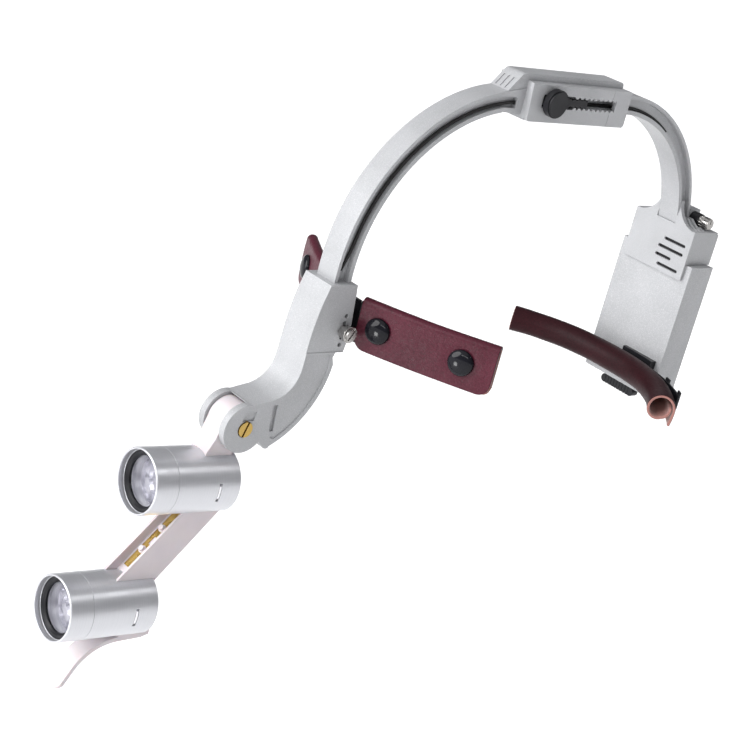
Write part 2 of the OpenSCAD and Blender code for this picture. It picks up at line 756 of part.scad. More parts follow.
module knuckle_arm() color(white) difference() {
    union() {
        rod(pivot, knuckle_r, -knuckle_x, knuckle_x, 96);
        side(-knuckle_x, knuckle_x) polygon([[-151.6, -46], [-153.4, -53], [-156.6, -59],
            [-157, -64], [-143, -64], [-142.6, -57], [-139, -52]]);
    }
    rod(pivot, screw_r + 0.05, -8, 8);
    barrel_space(upper_c);
}

module bar_outline() {
    polygon([[-160, -85], [-142.2, -85], [-142.2, -87.6], [-169.6, -119.4], [-191.4, -119.4]]);
}

module channel_bar() color(white) difference() {
    side(-5.4, 5.4) bar_outline();
    // Front channel and rear channel leave a web between the two walls
    side(-4.2, 4.2) polygon([[-150, -80], [-158.4, -89.5], [-184, -117.6], [-184, -122],
        [-200, -122], [-200, -80]]);
    side(-4.2, 4.2) polygon([[-140, -80], [-148, -84], [-151.5, -88], [-177.5, -117],
        [-175, -122], [-165, -122], [-130, -86]]);
    barrel_space(upper_c);
    barrel_space(lower_c);
}

// Draws on the front face of the bar's web: x runs down the bar, -y stands out from it
module on_bar() {
    translate(bar_face) rotate(-bar_angle) children();
}

module brass_strip() color(brass) difference() {
    side(-2.6, 2.6) on_bar() translate([0.4, -0.6]) square([31.6, 0.58]);
    for (along = post_at) post(along, 1.3, -1, 3);
    side(-0.9, 0.9) on_bar() translate([15, -1]) square([4, 2]);
}

// A round post on the bar's web, from one height above it to another
module post(along, r, low, high) {
    translate([0, bar_face[0], bar_face[1]]) rotate([-bar_angle, 0, 0])
        translate([0, along, -high]) cylinder(h = high - low, r = r, $fn = 32);
}

module bar_posts() color(white) for (along = post_at) {
    post(along, 1.25, 0.02, 2.6);
    post(along, 1.7, 0.65, 1.5);
}

module finger_lever() color(white) difference() {
    side(-5, 5) lever_outline();
    barrel_space(lower_c);
    // Rounds the tip
    translate([0, lever_end[0], lever_end[1]]) rotate([60, 0, 0]) difference() {
        translate([-7, -12, -4]) cube([14, 5.5, 6]);
        translate([0, -5.6, -5]) cylinder(h = 8, r = 5.4, $fn = 64);
    }
}

// Saddle under the barrel, bend, and the straight tip, as [y, z]
module lever_outline() {
    inner_end = lever_c + (lever_r - lever_t) * [cos(150), sin(150)];
    polygon(concat(
        [[-165, lever_top], [-165, -145.8], [-169, lever_c[1] + lever_r - lever_t]],
        arc(lever_c, lever_r - lever_t, 90, 150, 24),
        [inner_end + lever_tip, lever_end + lever_tip],
        arc(lever_c, lever_r, 150, 90, 24),
        [[lever_c[0], lever_top]]));
}

module barrel_shell(c) color(steel) at_barrel(c) difference() {
    cylinder(h = barrel_l - ring_l - 0.15, r = barrel_r);
    translate([0, 0, -1]) cylinder(h = barrel_l, r = bore_r);
    // Slot that the focus tab shows in
    translate([0, 0, tab_z - 0.8]) rotate([0, 0, -17]) rotate_extrude(angle = 34)
        translate([bore_r - 0.5, 0]) square([4, 1.6]);
}

module front_ring(c) color(steel) at_barrel(c) translate([0, 0, barrel_l - ring_l])
    rotate_extrude() polygon([
        [bore_r, 0], [barrel_r, 0], [barrel_r, ring_l - 0.4], [barrel_r - 0.4, ring_l],
        [barrel_r - 0.8, ring_l], [barrel_r - 1, ring_l - 0.5], [barrel_r - 1, filter_z],
        [barrel_r - 1.2, filter_z], [barrel_r - 1.2, seat_z], [bore_r, seat_z - 0.2]]);

module retaining_ring(c) color(black) at_barrel(c) translate([0, 0, barrel_l - ring_l + seat_z + 0.1])
    rotate_extrude() polygon([[10.7, 0], [barrel_r - 1.25, 0], [barrel_r - 1.25, 2], [11.6, 2],
        [10.7, 1.1]]);

module lens(c) color([0.8, 0.88, 0.95, 0.4]) at_barrel(c)
    translate([0, 0, barrel_l - ring_l + seat_z - 3.9]) intersection() {
        cylinder(h = 3.8, r = bore_r - 0.1);
        translate([0, 0, 3.8 - 40]) sphere(40, $fn = 128);
    }

// Ribbed sleeve: a stepped bore, with the tab that turns it
module ribbed_sleeve(c) color(steel) at_barrel(c) {
    len = barrel_l - ring_l - 7.2;
    step = (len - 1) / rib_count;
    translate([0, 0, 8.6]) rotate_extrude() polygon(concat(
        [[sleeve_r, 0], [sleeve_r, len]],
        [for (i = [rib_count:-1:1], e = [0:1])
            [4.6 + (i - (e > 0 ? 0.35 : 0)) * 6.2 / rib_count, 1 + i * step - e * 0.5 * step]],
        [[4.6, 0]]));
    translate([0, 0, tab_z - 0.5]) rotate([0, 0, -12]) rotate_extrude(angle = 24)
        translate([sleeve_r - 0.4, 0]) square([barrel_r - sleeve_r + 0.15, 1]);
}

module lamp_board(c) color([0.9, 0.9, 0.85]) at_barrel(c) {
    translate([0, 0, 5.4]) cylinder(h = 1.6, r = bore_r - 0.4);
    translate([-1.7, -1.7, 7]) cube([3.4, 3.4, 0.7]);
    translate([0, 0, 7.6]) intersection() {
        sphere(1.4, $fn = 32);
        translate([-2, -2, 0]) cube(4);
    }
}

module rear_cap(c) color(steel) at_barrel(c) difference() {
    union() {
        translate([0, 0, 0.4]) cylinder(h = 3, r = bore_r - 0.05);
        translate([0, 0, 3.4]) difference() {
            cylinder(h = 1.9, r = bore_r - 0.3);
            translate([0, 0, -1]) cylinder(h = 4, r = bore_r - 1.8);
        }
    }
    for (a = [0:90:270]) rotate([0, 0, a + 45]) translate([8, 0, -1])
        cylinder(h = 2.4, r = 1, $fn = 32);
    translate([0, 0, -1]) cylinder(h = 2, r = 4, $fn = 48);
}

module upper_barrel() barrel_shell(upper_c);
module upper_front_ring() front_ring(upper_c);
module upper_retaining_ring() retaining_ring(upper_c);
module upper_lens() lens(upper_c);
module upper_ribbed_sleeve() ribbed_sleeve(upper_c);
module upper_lamp_board() lamp_board(upper_c);
module upper_rear_cap() rear_cap(upper_c);
module lower_barrel() barrel_shell(lower_c);
module lower_front_ring() front_ring(lower_c);
module lower_retaining_ring() retaining_ring(lower_c);
module lower_lens() lens(lower_c);
module lower_ribbed_sleeve() ribbed_sleeve(lower_c);
module lower_lamp_board() lamp_board(lower_c);
module lower_rear_cap() rear_cap(lower_c);

front_band();
adjuster_housing();
toothed_plate();
slot_end_cap();
left_cover_plate();
lower_bracket();
pivot_screw();
pivot_nut();
front_wire();
housing_screws();
pad_bracket();
pad_screw();
pad_carrier();
sleeve_left();
sleeve_right();
pad_snaps();
rear_band();
band_foot();
upper_case();
case_floor();
driver_board();
vent_liner();
dimmer_collar();
dimmer_knob();
battery_box();
battery_cartridge();
lithium_cell();
cartridge_grip();
battery_contacts();
rear_pad_spine();
rear_pad_roll();
rear_wire();
size_latch();
latch_spring();
knuckle_arm();
channel_bar();
brass_strip();
bar_posts();
finger_lever();
upper_barrel();
upper_front_ring();
upper_retaining_ring();
upper_lens();
upper_ribbed_sleeve();
upper_lamp_board();
upper_rear_cap();
lower_barrel();
lower_front_ring();
lower_retaining_ring();
lower_lens();
lower_ribbed_sleeve();
lower_lamp_board();
lower_rear_cap();
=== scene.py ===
"""Looks of the head visor magnifier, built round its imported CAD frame. Metres, in the CAD's own frame."""

import json
import math

import bmesh
import bpy
from mathutils import Matrix, Vector, noise


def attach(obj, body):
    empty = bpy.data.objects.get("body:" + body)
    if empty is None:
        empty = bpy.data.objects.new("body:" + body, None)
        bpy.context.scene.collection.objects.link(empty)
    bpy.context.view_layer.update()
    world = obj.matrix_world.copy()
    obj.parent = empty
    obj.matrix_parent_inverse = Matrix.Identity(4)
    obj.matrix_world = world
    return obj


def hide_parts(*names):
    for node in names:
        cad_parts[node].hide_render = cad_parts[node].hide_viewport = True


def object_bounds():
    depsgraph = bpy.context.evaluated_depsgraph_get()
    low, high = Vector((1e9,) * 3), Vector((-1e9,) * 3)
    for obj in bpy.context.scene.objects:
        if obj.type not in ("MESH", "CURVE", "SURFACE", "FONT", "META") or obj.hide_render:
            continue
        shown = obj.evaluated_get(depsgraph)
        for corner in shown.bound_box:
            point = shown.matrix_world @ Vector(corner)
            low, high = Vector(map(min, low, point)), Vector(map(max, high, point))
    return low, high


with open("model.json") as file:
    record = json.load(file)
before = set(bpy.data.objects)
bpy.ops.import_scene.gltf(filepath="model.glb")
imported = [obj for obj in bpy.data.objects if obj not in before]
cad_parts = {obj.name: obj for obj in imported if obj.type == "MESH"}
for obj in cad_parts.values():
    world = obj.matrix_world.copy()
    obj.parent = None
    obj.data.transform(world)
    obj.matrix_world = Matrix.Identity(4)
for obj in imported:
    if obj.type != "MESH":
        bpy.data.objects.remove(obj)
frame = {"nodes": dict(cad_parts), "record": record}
CAD_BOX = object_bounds()
MM = 0.001
RECORD = frame["record"]
BODY_OF = {n: body for body, nodes in RECORD["behaviour"]["bodies"].items() for n in nodes}
SLOT_OF = {part["node"]: part["material_slot"] for part in RECORD["subparts"]}

# Wings that carry the forehead sleeves: arcs in plan, as in the CAD, in millimetres
WING_START = (10.0, -95.2)
WING_R = 400.0
WING_HEADING = math.radians(22.6)

# Forehead sleeves. The inset is from the CAD sleeve's faces to the middle of the leather
SLEEVE_LENGTHS = (0.2, 64.0)
SLEEVE_HALF_HEIGHT = 11.8
SLEEVE_INSET = 0.7
SLEEVE_FOLD_R = 1.85
OUTER_CORNER_R = 5.5
INNER_CORNER_R = 4.0
SLEEVE_THICKNESS = 1.3

# Snaps through the sleeves
SNAP_LENGTHS = (10.2, 49.2)
SNAP_R = 5.8
DOME_BASE = 0.75
DOME_RISE = 2.2
SNAP_STUD_R = 1.5
SNAP_STUD_DEPTH = 1.9

# Rolled rear pad: a straight middle, then an arc each side
ROLL_CENTRE = (97.0, -30.8)
ROLL_BEND = 72.0
ROLL_HALF = 4.0
ROLL_TURN = math.radians(44.5)

# Its section: a tail, a turn round the tube that tightens once it laps, then an inner flap
ROLL_MID_R = 6.15
ROLL_TAIL = 7.4
ROLL_TAIL_CURL = 0.012
ROLL_LAP = math.radians(285)
ROLL_CLOSING = math.radians(170)
ROLL_TIGHTENING = 1.7
ROLL_FLAP = 7.0
ROLL_THICKNESS = 1.35


# ---------- materials ----------


def add(tree, kind, inputs=(), **settings):
    """A new shader node. An input is given by name or number, as a value or as a socket to link."""
    made = tree.nodes.new(kind)
    for key, value in settings.items():
        setattr(made, key, value)
    for key, value in dict(inputs).items():
        if isinstance(value, bpy.types.NodeSocket):
            tree.links.new(value, made.inputs[key])
        else:
            made.inputs[key].default_value = value
    return made


def start_material(name, **shader_values):
    """A material with its shader's own values set, and the object's coordinates."""
    made = bpy.data.materials.new(name)
    made.use_nodes = True
    tree = made.node_tree
    shader = tree.nodes["Principled BSDF"]
    for key, value in shader_values.items():
        shader.inputs[key.replace("_", " ")].default_value = value
    place = add(tree, "ShaderNodeTexCoord").outputs["Object"]
    return made, tree, shader, place


def noise_value(tree, place, scale, detail=3.0, rough=0.5):
    inputs = {"Vector": place, "Scale": scale, "Detail": detail, "Roughness": rough}
    return add(tree, "ShaderNodeTexNoise", inputs).outputs["Fac"]


def spread(tree, value, low, high, start=0.3, end=0.7):
    """Maps value from start..end to low..high."""
    inputs = {"Value": value, "From Min": start, "From Max": end, "To Min": low, "To Max": high}
    return add(tree, "ShaderNodeMapRange", inputs).outputs["Result"]


def mix_colours(tree, share, one, other):
    """A colour between two, each given as red, green and blue or as a socket."""
    made = add(tree, "ShaderNodeMix", {0: share}, data_type="RGBA")
    for number, value in ((6, one), (7, other)):
        if isinstance(value, bpy.types.NodeSocket):
            tree.links.new(value, made.inputs[number])
        else:
            made.inputs[number].default_value = (*value, 1.0)
    return made.outputs[2]


def bump(tree, height, distance, strength, normal=None):
    inputs = {"Height": height, "Distance": distance, "Strength": strength}
    if normal is not None:
        inputs["Normal"] = normal
    return add(tree, "ShaderNodeBump", inputs).outputs["Normal"]


def add_values(tree, one, other, operation="ADD"):
    return add(tree, "ShaderNodeMath", {0: one, 1: other}, operation=operation).outputs[0]


def paint(name, light, dark):
    """Satin silver paint: fine sandy texture, soft clouding."""
    made, tree, shader, place = start_material(name, Metallic=0.1, Specular_IOR_Level=0.35)
    cloud = noise_value(tree, place, 45, 4)
    fleck = noise_value(tree, place, 4200, 2)
    colour = mix_colours(tree, spread(tree, cloud, 0, 1), dark, light)
    flecked = mix_colours(tree, spread(tree, fleck, 0, 0.35, 0.5, 0.75), colour, (1, 1, 1))
    tree.links.new(flecked, shader.inputs["Base Color"])
    tree.links.new(spread(tree, noise_value(tree, place, 130), 0.3, 0.42), shader.inputs["Roughness"])
    grain = noise_value(tree, place, 2300, 3)
    tree.links.new(bump(tree, grain, 0.00003, 0.35), shader.inputs["Normal"])
    return made


def turned(name, light, dark, axis, rings, rough=(0.2, 0.34), depth=0.00001, metal=1.0):
    """Turned metal: fine rings round the axis and a satin bloom."""
    made, tree, shader, place = start_material(name, Metallic=metal)
    along = add(tree, "ShaderNodeVectorMath", {0: place, 1: axis}, operation="DOT_PRODUCT")
    lines = add(
        tree, "ShaderNodeTexNoise", {"W": along.outputs["Value"], "Scale": rings, "Detail": 2.0},
        noise_dimensions="1D",
    ).outputs["Fac"]
    cloud = noise_value(tree, place, 160, 3)
    shade = add_values(tree, spread(tree, lines, 0, 0.6), spread(tree, cloud, 0, 0.4))
    tree.links.new(mix_colours(tree, shade, dark, light), shader.inputs["Base Color"])
    tree.links.new(spread(tree, cloud, *rough), shader.inputs["Roughness"])
    satin = bump(tree, noise_value(tree, place, 5200, 2), 0.00001, 0.3)
    tree.links.new(bump(tree, lines, depth, 0.6, satin), shader.inputs["Normal"])
    return made


def moulded(name, light, dark, rough=(0.38, 0.5), grain=1800, depth=0.00003, soft=0.0, coat=0.0, gloss=0.4):
    """Moulded plastic or rubber: spark-eroded grain and faint flow marks."""
    made, tree, shader, place = start_material(
        name, Subsurface_Weight=soft, Subsurface_Scale=0.002, Coat_Weight=coat, Coat_Roughness=0.15,
        Specular_IOR_Level=gloss,
    )
    flow = noise_value(tree, place, 70, 5)
    tree.links.new(mix_colours(tree, spread(tree, flow, 0, 1), dark, light), shader.inputs["Base Color"])
    tree.links.new(spread(tree, noise_value(tree, place, 240), *rough), shader.inputs["Roughness"])
    height = noise_value(tree, place, grain, 2)
    tree.links.new(bump(tree, height, depth, 0.4), shader.inputs["Normal"])
    return made


def leather(name, light, dark, rough=(0.34, 0.5), depth=0.00012, gloss=0.22):
    """Fine-grained leather: pebbles with creases between them, the creases darkened with painted shade so the
    pebble tops read lighter, and random lighter patches.
    """
    made, tree, shader, place = start_material(
        name, Sheen_Weight=0.02, Sheen_Roughness=0.4, Specular_IOR_Level=gloss
    )
    warp = add(tree, "ShaderNodeTexNoise", {"Vector": place, "Scale": 420.0, "Detail": 2.0})
    moved = add(
        tree, "ShaderNodeVectorMath", {0: warp.outputs["Color"], "Scale": 0.0012}, operation="SCALE"
    ).outputs[0]
    bent = add(tree, "ShaderNodeVectorMath", {0: place, 1: moved}, operation="ADD").outputs[0]
    pebble = add(
        tree, "ShaderNodeTexVoronoi", {"Vector": bent, "Scale": 1500.0}, feature="SMOOTH_F1"
    ).outputs["Distance"]
    crease = spread(tree, pebble, 1, 0, 0.15, 0.75)
    patch = spread(tree, noise_value(tree, place, 55, 5), 0, 1)
    # Painted shade: the tone darkens in the creases between the pebbles. The patch noise adds random lighter
    # patches.
    tone = add_values(tree, spread(tree, crease, 0, 0.55, 0, 1), add_values(tree, patch, 0.45, "MULTIPLY"))
    tree.links.new(mix_colours(tree, tone, dark, light), shader.inputs["Base Color"])
    tree.links.new(spread(tree, noise_value(tree, place, 700), *rough), shader.inputs["Roughness"])
    fine = bump(tree, noise_value(tree, place, 5200, 3), 0.00004, 0.4)
    tree.links.new(bump(tree, crease, depth, 0.5, fine), shader.inputs["Normal"])
    return made


def flesh(name, light, dark):
    """Cut or suede side of the leather: loose fibres."""
    made, tree, shader, place = start_material(name, Roughness=0.85, Sheen_Weight=0.35, Sheen_Roughness=0.5)
    fibre = noise_value(tree, place, 2600, 6, 0.7)
    tree.links.new(mix_colours(tree, spread(tree, fibre, 0, 1), dark, light), shader.inputs["Base Color"])
    tree.links.new(bump(tree, fibre, 0.00015, 0.6), shader.inputs["Normal"])
    return made


def coated_glass(name):
    """Thin clear lens with a slightly uneven coating: nearly all light passes straight through."""
    made, tree, shader, place = start_material(name, Alpha=0.07, Specular_IOR_Level=0.5)
    haze = noise_value(tree, place, 90, 2)
    tint = mix_colours(tree, spread(tree, haze, 0, 1), (0.45, 0.46, 0.62), (0.55, 0.50, 0.62))
    tree.links.new(tint, shader.inputs["Base Color"])
    tree.links.new(spread(tree, haze, 0.02, 0.05), shader.inputs["Roughness"])
    return made


def printed_board(name, mask, copper):
    """Solder mask with traces that show through."""
    made, tree, shader, place = start_material(name, Roughness=0.35, Coat_Weight=0.3)
    cells = add(
        tree, "ShaderNodeTexVoronoi", {"Vector": place, "Scale": 420.0}, distance="MANHATTAN"
    ).outputs["Distance"]
    trace = spread(tree, cells, 0, 1, 0.3, 0.34)
    tree.links.new(mix_colours(tree, trace, mask, copper), shader.inputs["Base Color"])
    tree.links.new(bump(tree, cells, 0.00002, 0.3), shader.inputs["Normal"])
    return made


BARREL_AXIS = Vector((0.0, -0.99824, 0.05931))
ALONG_X = Vector((1.0, 0.0, 0.0))
LOOKS = {
    "silver_shell": paint("silver_paint", (0.405, 0.41, 0.425), (0.355, 0.36, 0.372)),
    "satin_aluminium": turned(
        "satin_aluminium", (0.66, 0.665, 0.695), (0.61, 0.615, 0.645), BARREL_AXIS, 1900, (0.3, 0.38),
        depth=0.000004, metal=0.6,
    ),
    "polished_aluminium": turned(
        "bright_aluminium", (0.90, 0.90, 0.93), (0.80, 0.80, 0.83), BARREL_AXIS, 900, (0.12, 0.2)
    ),
    "white_plastic": moulded("white_plastic", (0.64, 0.585, 0.605), (0.59, 0.535, 0.56), soft=0.1),
    "black_plastic": moulded(
        "black_plastic", (0.016, 0.016, 0.019), (0.008, 0.008, 0.010), (0.30, 0.42), gloss=0.28
    ),
    "snap_black": moulded(
        "snap_enamel", (0.010, 0.010, 0.014), (0.005, 0.005, 0.007), (0.08, 0.13),
        grain=600, depth=0.00001, gloss=0.22,
    ),
    "black_rubber": moulded("black_rubber", (0.02, 0.02, 0.02), (0.01, 0.01, 0.01), (0.55, 0.7)),
    "leather": leather("burgundy_leather", (0.088, 0.010, 0.024), (0.040, 0.005, 0.011)),
    "brass_fitting": turned("turned_brass", (0.55, 0.38, 0.12), (0.36, 0.24, 0.07), ALONG_X, 3000),
    "nickel_fitting": turned(
        "nickel_plate", (0.50, 0.49, 0.475), (0.34, 0.33, 0.32), ALONG_X, 3200, (0.15, 0.3)
    ),
    "lens_glass": coated_glass("coated_glass"),
    "circuit_board": printed_board("driver_board", (0.01, 0.07, 0.03), (0.03, 0.16, 0.07)),
    "lamp_board": printed_board("lamp_board", (0.75, 0.74, 0.66), (0.6, 0.55, 0.35)),
    "cell_wrap": moulded("cell_wrap", (0.05, 0.16, 0.32), (0.03, 0.11, 0.24), (0.25, 0.35), coat=0.4),
}
DARK_LEATHER = leather(
    "dark_leather", (0.032, 0.006, 0.009), (0.012, 0.003, 0.004), (0.42, 0.52), depth=0.00006, gloss=0.12
)
EDGE_INK = moulded("edge_ink", (0.012, 0.007, 0.008), (0.006, 0.004, 0.005), (0.4, 0.55))
FLESH = flesh("leather_flesh", (0.42, 0.20, 0.17), (0.24, 0.10, 0.085))


def dress(obj, *looks):
    obj.data.materials.clear()
    for look in looks:
        obj.data.materials.append(look)


# ---------- meshes ----------


def new_object(name, verts, faces):
    mesh = bpy.data.meshes.new(name)
    mesh.from_pydata(verts, [], faces)
    mesh.validate()
    made = bpy.data.objects.new(name, mesh)
    bpy.context.scene.collection.objects.link(made)
    return made


def stand_for(obj, node):
    """Has a piece ride with a CAD node's body and replace the node."""
    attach(obj, BODY_OF[node])
    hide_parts(node)


def bake_modifiers(obj):
    """Applies the modifiers, so that the mesh is the one that shows."""
    evaluated = obj.evaluated_get(bpy.context.evaluated_depsgraph_get())
    mesh = bpy.data.meshes.new_from_object(evaluated)
    obj.modifiers.clear()
    obj.data = mesh


def smooth(obj, angle):
    """Smooth shading, with edges sharper than the angle, in degrees, kept sharp."""
    obj.data.polygons.foreach_set("use_smooth", [True] * len(obj.data.polygons))
    obj.data.set_sharp_from_angle(angle=math.radians(angle))


def soften(node, width):
    """A copy of a CAD node with its hard edges rounded. It stands for the node."""
    source = frame["nodes"][node].data
    made = new_object(
        node + "_shell", [v.co for v in source.vertices], [p.vertices[:] for p in source.polygons]
    )
    mesh = bmesh.new()
    mesh.from_mesh(made.data)
    bmesh.ops.remove_doubles(mesh, verts=mesh.verts, dist=2e-6)
    bmesh.ops.dissolve_limit(
        mesh, angle_limit=math.radians(0.6), verts=mesh.verts, edges=mesh.edges, delimit=set()
    )
    mesh.to_mesh(made.data)
    mesh.free()
    rounding = made.modifiers.new("rounding", "BEVEL")
    rounding.width = width
    rounding.segments = 2
    rounding.limit_method = "ANGLE"
    rounding.angle_limit = math.radians(32)
    rounding.use_clamp_overlap = True
    bake_modifiers(made)
    smooth(made, 50)
    made.modifiers.new("normals", "WEIGHTED_NORMAL").keep_sharp = True
    bake_modifiers(made)
    dress(made, LOOKS[SLOT_OF[node]])
    stand_for(made, node)


def grid_object(name, point, columns, rows):
    """A sheet of quads: point(u, v) gives a place in millimetres, with u and v from 0 to 1."""
    verts = [
        Vector(point(i / columns, j / rows)) * MM for i in range(columns + 1) for j in range(rows + 1)
    ]
    step = rows + 1
    faces = [
        (i * step + j, (i + 1) * step + j, (i + 1) * step + j + 1, i * step + j + 1)
        for i in range(columns)
        for j in range(rows)
    ]
    return new_object(name, verts, faces)


def thicken(obj, thickness, outer, inner, rim):
    """Turns a sheet into leather: a look each for the grain, the flesh and the cut edge, which is rounded."""
    dress(obj, outer, inner, rim)
    solid = obj.modifiers.new("thickness", "SOLIDIFY")
    solid.thickness = thickness
    solid.offset = 0.0
    solid.use_even_offset = True
    solid.material_offset = 1
    solid.material_offset_rim = 2
    edge = obj.modifiers.new("edge", "BEVEL")
    edge.width = thickness * 0.28
    edge.segments = 2
    edge.limit_method = "ANGLE"
    edge.angle_limit = math.radians(60)
    bake_modifiers(obj)
    smooth(obj, 75)


def on_wing(side, length, radius):
    """A point of a wing's plan at a length along it, in millimetres."""
    angle = WING_HEADING + length / WING_R
    centre_x = WING_START[0] - WING_R * math.sin(WING_HEADING)
    centre_y = WING_START[1] + WING_R * math.cos(WING_HEADING)
    return side * (centre_x + radius * math.sin(angle)), centre_y - radius * math.cos(angle)


def bell(distance, reach):
    """1 at no distance, falling smoothly to 0 at reach."""
    share = min(1.0, abs(distance) / reach)
    return (1 - share * share) ** 2


def sleeve(name, node, side):
    """Leather folded over the carrier and held by two snaps: crowned between them, pinched at them."""
    low, high = SLEEVE_LENGTHS
    fold_r = SLEEVE_FOLD_R
    leaf_r = WING_R - SLEEVE_INSET
    bottom = -SLEEVE_HALF_HEIGHT + SLEEVE_INSET
    pinch_reach = 10.5
    crown_reach = 15
    flare_reach = 5.0

    def lower_edge(length, corner):
        """Height of a leaf's lower edge, which is rounded at both ends."""
        end = min(length - low, high - length)
        if end >= corner:
            return bottom
        return bottom + corner - math.sqrt(max(0.0, corner ** 2 - (corner - end) ** 2))

    def point(u, v):
        """Along the sleeve by u. By v up the outer leaf, over the fold and down the inner leaf."""
        length = low + (high - low) * u
        top = -bottom - fold_r - 0.25 * math.sin(math.pi * u) ** 2
        outer_low = lower_edge(length, OUTER_CORNER_R)
        inner_low = lower_edge(length, INNER_CORNER_R) - SLEEVE_INSET
        outer_len, fold_len, inner_len = top - outer_low, math.pi * fold_r, top - inner_low
        run = v * (outer_len + fold_len + inner_len)
        if run < outer_len:
            z, inward = outer_low + run, 0.0
        elif run < outer_len + fold_len:
            turn = (run - outer_len) / fold_r
            z, inward = top + fold_r * math.sin(turn), fold_r * (1 - math.cos(turn))
        else:
            z, inward = top - (run - outer_len - fold_len), 2 * fold_r
        pinch = max(bell(math.hypot(length - s, z), pinch_reach) for s in SNAP_LENGTHS)
        crown = 0.55 * bell(z, crown_reach) * (1 - pinch) * (0.6 + 0.4 * math.sin(math.pi * u))
        ripple = 0.14 * noise.noise(Vector((length * 0.11, z * 0.13, 7.0 + side)))
        flare = 0.5 * (1 - min(1.0, min(length - low, high - length) / flare_reach)) ** 2
        if inward < fold_r:
            inward -= crown * 0.55 + ripple - 0.3 * pinch + 0.3 * flare
        else:
            inward += 0.35 * crown + ripple + 0.2 * flare
        x, y = on_wing(side, length, leaf_r - inward)
        return x, y, z

    made = grid_object(name, point, columns=84, rows=72)
    if side < 0:
        made.data.flip_normals()
    thicken(made, SLEEVE_THICKNESS * MM, LOOKS["leather"], FLESH, EDGE_INK)
    stand_for(made, node)


def lathe(name, profile, place, steps=64):
    """Turns a profile, given as (radius, height) in millimetres, round place's own Z axis."""
    count = len(profile)
    verts = []
    faces = []
    for i in range(steps):
        turn = 2 * math.pi * i / steps
        verts += [place @ Vector((r * math.cos(turn), r * math.sin(turn), h)) * MM for r, h in profile]
        here = i * count
        there = (i + 1) % steps * count
        faces += [(here + j, there + j, there + j + 1, here + j + 1) for j in range(count - 1)]
    made = new_object(name, verts, faces)
    mesh = bmesh.new()
    mesh.from_mesh(made.data)
    bmesh.ops.remove_doubles(mesh, verts=mesh.verts, dist=1e-7)
    bmesh.ops.recalc_face_normals(mesh, faces=mesh.faces)
    mesh.to_mesh(made.data)
    mesh.free()
    smooth(made, 40)
    return made


def snaps():
    """Enamelled domes with a narrow rim, each on a stud through the leather."""
    dome = [(0.0, DOME_BASE + DOME_RISE)]
    for degrees in range(8, 89, 8):
        t = math.radians(degrees)
        dome.append((SNAP_R * 0.98 * math.sin(t), DOME_BASE + DOME_RISE * math.cos(t)))
    dome += [(SNAP_R, 0.6), (SNAP_R, 0.35), (SNAP_R - 0.25, 0.08)]
    dome += [(SNAP_STUD_R, 0.08), (SNAP_STUD_R, -SNAP_STUD_DEPTH), (0.0, -SNAP_STUD_DEPTH)]
    for side in (-1, 1):
        for k, length in enumerate(SNAP_LENGTHS):
            x, y = on_wing(side, length, WING_R)
            heading = WING_HEADING + length / WING_R
            outward = Vector((side * math.sin(heading), -math.cos(heading), 0))
            turn = outward.to_track_quat("Z", "Y").to_matrix().to_4x4()
            place = Matrix.Translation((x, y, 0)) @ turn
            part = lathe(f"snap_{'right' if side < 0 else 'left'}_{k + 1}", dome, place)
            dress(part, LOOKS["snap_black"])
            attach(part, BODY_OF["pad_snaps"])
    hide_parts("pad_snaps")


def roll_frame(share):
    """Centre, and the direction away from the head, at a share of the rolled pad's path."""
    arc = ROLL_BEND * ROLL_TURN
    total = 2 * (arc + ROLL_HALF)
    run = (share - 0.5) * total
    side = 1 if run > 0 else -1
    past = abs(run) - ROLL_HALF
    if past <= 0:
        return Vector((run, ROLL_CENTRE[0], ROLL_CENTRE[1])), Vector((0, 1, 0))
    angle = past / ROLL_BEND
    out = Vector((side * math.sin(angle), math.cos(angle), 0))
    hub = Vector((side * ROLL_HALF, ROLL_CENTRE[0] - ROLL_BEND, ROLL_CENTRE[1]))
    return hub + out * ROLL_BEND, out


def roll_section(v):
    """A point of the rolled strip's section, as (away from the head, up), with v from 0 to 1."""
    run = v * (ROLL_TAIL + ROLL_MID_R * ROLL_LAP + ROLL_FLAP)
    if run < ROLL_TAIL:
        drop = ROLL_TAIL - run
        return ROLL_MID_R - ROLL_TAIL_CURL * drop ** 2, -drop
    turn = (run - ROLL_TAIL) / ROLL_MID_R
    if turn <= ROLL_LAP:
        late = max(0.0, turn - ROLL_CLOSING) / (ROLL_LAP - ROLL_CLOSING)
        tighter = ROLL_MID_R - ROLL_TIGHTENING * late ** 2
        return tighter * math.cos(turn), tighter * math.sin(turn)
    on = run - ROLL_TAIL - ROLL_MID_R * ROLL_LAP
    end_r = ROLL_MID_R - ROLL_TIGHTENING
    turn = ROLL_LAP + on / end_r
    return end_r * math.cos(turn), end_r * math.sin(turn)


def rear_roll():
    """The rear pad: one strip of leather rolled on itself along a curve, its loose tail behind."""
    droop_start = 0.66
    droop_end = Vector((-0.4, -1.5, -1.6))
    slant = 0.12
    slant_reach = 0.07

    def point(u, v):
        """Along the roll by u, from the -X end, and round its section by v."""
        centre, out = roll_frame(u)
        away, up = roll_section(v)
        edge = abs(u - 0.5) * 2
        wave = 0.16 * noise.noise(Vector((u * 9.0, v * 4.0, 3.0)))
        loose = 1 + 0.035 * bell(1 - edge, 0.25)
        sag = -0.25 * bell(edge, 0.8)
        droop = max(0.0, (u - droop_start) / (1 - droop_start)) ** 2
        place = centre + out * (away * loose + wave * away / ROLL_MID_R)
        # The +X end is cut square and droops, the -X end is cut a little slanted
        along = Vector((out.y, -out.x, 0)) * away * slant * max(0.0, 1 - u / slant_reach)
        place += along + droop_end * droop
        return place.x, place.y, place.z + up * loose + wave * up / ROLL_MID_R + sag * (up < 0)

    made = grid_object("rear_roll_leather", point, columns=120, rows=96)
    made.data.flip_normals()
    thicken(made, ROLL_THICKNESS * MM, DARK_LEATHER, FLESH, FLESH)
    stand_for(made, "rear_pad_roll")


